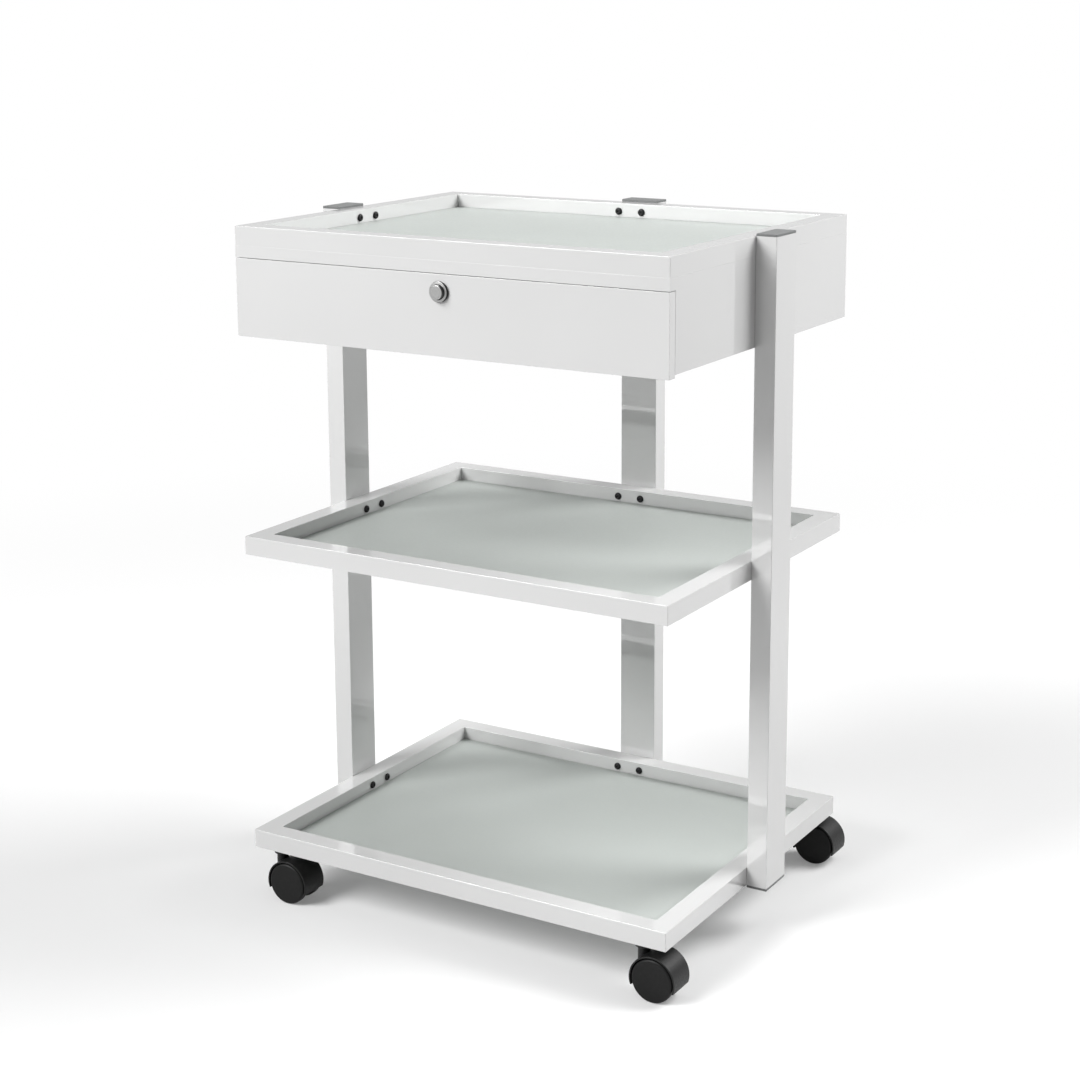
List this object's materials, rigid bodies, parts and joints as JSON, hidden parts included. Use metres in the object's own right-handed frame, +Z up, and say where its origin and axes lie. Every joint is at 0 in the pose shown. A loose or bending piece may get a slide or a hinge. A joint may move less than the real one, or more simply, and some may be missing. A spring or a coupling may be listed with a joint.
{
  "type": "rolling salon trolley",
  "caption": "Wheeled trolley with framed frosted glass shelves on outside posts, a knobbed drawer under the top tray and swivel twin-wheel casters.",
  "frame": {"origin": "on the floor, below the centre of the shelf frames", "axes": "+Z up, +X to the right as seen from the drawer side, the drawer opens towards -Y"},
  "size_m": [0.61, 0.481, 0.815],
  "materials": {
    "white_paint": "glossy white powder coat",
    "frosted_glass": "frosted float glass with a green tint",
    "grey_plastic": "moulded grey plastic, satin",
    "black_steel": "blackened steel screws and caster stems",
    "zinc_steel": "zinc plated",
    "satin_metal": "satin nickel",
    "white_lacquer": "gloss white lacquer over board",
    "black_plastic": "moulded black nylon",
    "grey_wheel": "moulded dark grey nylon"
  },
  "bodies": {
    "trolley": {"bottom_frame": "white_paint", "bottom_glass": "frosted_glass", "middle_frame": "white_paint", "middle_glass": "frosted_glass", "top_frame": "white_paint", "top_glass": "frosted_glass", "left_post": "white_paint", "left_post_top_cap": "grey_plastic", "left_post_bottom_cap": "grey_plastic", "right_post": "white_paint", "right_post_top_cap": "grey_plastic", "right_post_bottom_cap": "grey_plastic", "rear_post": "white_paint", "rear_post_top_cap": "grey_plastic", "rear_post_bottom_cap": "grey_plastic", "bottom_left_bolt_1": "black_steel", "bottom_left_bolt_2": "black_steel", "bottom_right_bolt_1": "black_steel", "bottom_right_bolt_2": "black_steel", "bottom_rear_bolt_1": "black_steel", "bottom_rear_bolt_2": "black_steel", "middle_left_bolt_1": "black_steel", "middle_left_bolt_2": "black_steel", "middle_right_bolt_1": "black_steel", "middle_right_bolt_2": "black_steel", "middle_rear_bolt_1": "black_steel", "middle_rear_bolt_2": "black_steel", "top_left_bolt_1": "black_steel", "top_left_bolt_2": "black_steel", "top_right_bolt_1": "black_steel", "top_right_bolt_2": "black_steel", "top_rear_bolt_1": "black_steel", "top_rear_bolt_2": "black_steel", "drawer_housing": "white_paint", "left_drawer_runner": "zinc_steel", "right_drawer_runner": "zinc_steel", "front_left_caster_stem": "black_steel", "front_right_caster_stem": "black_steel", "rear_left_caster_stem": "black_steel", "rear_right_caster_stem": "black_steel"},
    "drawer": {"drawer_box": "white_paint", "drawer_front": "white_lacquer", "drawer_knob": "satin_metal", "knob_screw": "zinc_steel"},
    "front_left_caster": {"front_left_caster_hood": "black_plastic", "front_left_caster_axle": "zinc_steel"},
    "front_left_caster_near_wheel": {"front_left_caster_near_wheel": "grey_wheel"},
    "front_left_caster_far_wheel": {"front_left_caster_far_wheel": "grey_wheel"},
    "front_right_caster": {"front_right_caster_hood": "black_plastic", "front_right_caster_axle": "zinc_steel"},
    "front_right_caster_near_wheel": {"front_right_caster_near_wheel": "grey_wheel"},
    "front_right_caster_far_wheel": {"front_right_caster_far_wheel": "grey_wheel"},
    "rear_left_caster": {"rear_left_caster_hood": "black_plastic", "rear_left_caster_axle": "zinc_steel"},
    "rear_left_caster_near_wheel": {"rear_left_caster_near_wheel": "grey_wheel"},
    "rear_left_caster_far_wheel": {"rear_left_caster_far_wheel": "grey_wheel"},
    "rear_right_caster": {"rear_right_caster_hood": "black_plastic", "rear_right_caster_axle": "zinc_steel"},
    "rear_right_caster_near_wheel": {"rear_right_caster_near_wheel": "grey_wheel"},
    "rear_right_caster_far_wheel": {"rear_right_caster_far_wheel": "grey_wheel"}
  },
  "joints": [
    {"name": "drawer_slide", "type": "slide", "parent": "trolley", "child": "drawer", "axis": [0, -1, 0], "range_m": [0, 0.3]},
    {"name": "front_left_caster_swivel", "type": "hinge", "parent": "trolley", "child": "front_left_caster", "pos_m": [-0.2475, -0.212, 0.038], "axis": [0, 0, 1], "continuous": true},
    {"name": "front_left_caster_near_wheel_spin", "type": "hinge", "parent": "front_left_caster", "child": "front_left_caster_near_wheel", "pos_m": [-0.229, -0.2251, 0.025], "axis": [0, 1, 0], "continuous": true},
    {"name": "front_left_caster_far_wheel_spin", "type": "hinge", "parent": "front_left_caster", "child": "front_left_caster_far_wheel", "pos_m": [-0.229, -0.1989, 0.025], "axis": [0, 1, 0], "continuous": true},
    {"name": "front_right_caster_swivel", "type": "hinge", "parent": "trolley", "child": "front_right_caster", "pos_m": [0.2475, -0.212, 0.038], "axis": [0, 0, 1], "continuous": true},
    {"name": "front_right_caster_near_wheel_spin", "type": "hinge", "parent": "front_right_caster", "child": "front_right_caster_near_wheel", "pos_m": [0.266, -0.2251, 0.025], "axis": [0, 1, 0], "continuous": true},
    {"name": "front_right_caster_far_wheel_spin", "type": "hinge", "parent": "front_right_caster", "child": "front_right_caster_far_wheel", "pos_m": [0.266, -0.1989, 0.025], "axis": [0, 1, 0], "continuous": true},
    {"name": "rear_left_caster_swivel", "type": "hinge", "parent": "trolley", "child": "rear_left_caster", "pos_m": [-0.2475, 0.212, 0.038], "axis": [0, 0, 1], "continuous": true},
    {"name": "rear_left_caster_near_wheel_spin", "type": "hinge", "parent": "rear_left_caster", "child": "rear_left_caster_near_wheel", "pos_m": [-0.229, 0.1989, 0.025], "axis": [0, 1, 0], "continuous": true},
    {"name": "rear_left_caster_far_wheel_spin", "type": "hinge", "parent": "rear_left_caster", "child": "rear_left_caster_far_wheel", "pos_m": [-0.229, 0.2251, 0.025], "axis": [0, 1, 0], "continuous": true},
    {"name": "rear_right_caster_swivel", "type": "hinge", "parent": "trolley", "child": "rear_right_caster", "pos_m": [0.2475, 0.212, 0.038], "axis": [0, 0, 1], "continuous": true},
    {"name": "rear_right_caster_near_wheel_spin", "type": "hinge", "parent": "rear_right_caster", "child": "rear_right_caster_near_wheel", "pos_m": [0.266, 0.1989, 0.025], "axis": [0, 1, 0], "continuous": true},
    {"name": "rear_right_caster_far_wheel_spin", "type": "hinge", "parent": "rear_right_caster", "child": "rear_right_caster_far_wheel", "pos_m": [0.266, 0.2251, 0.025], "axis": [0, 1, 0], "continuous": true}
  ]
}
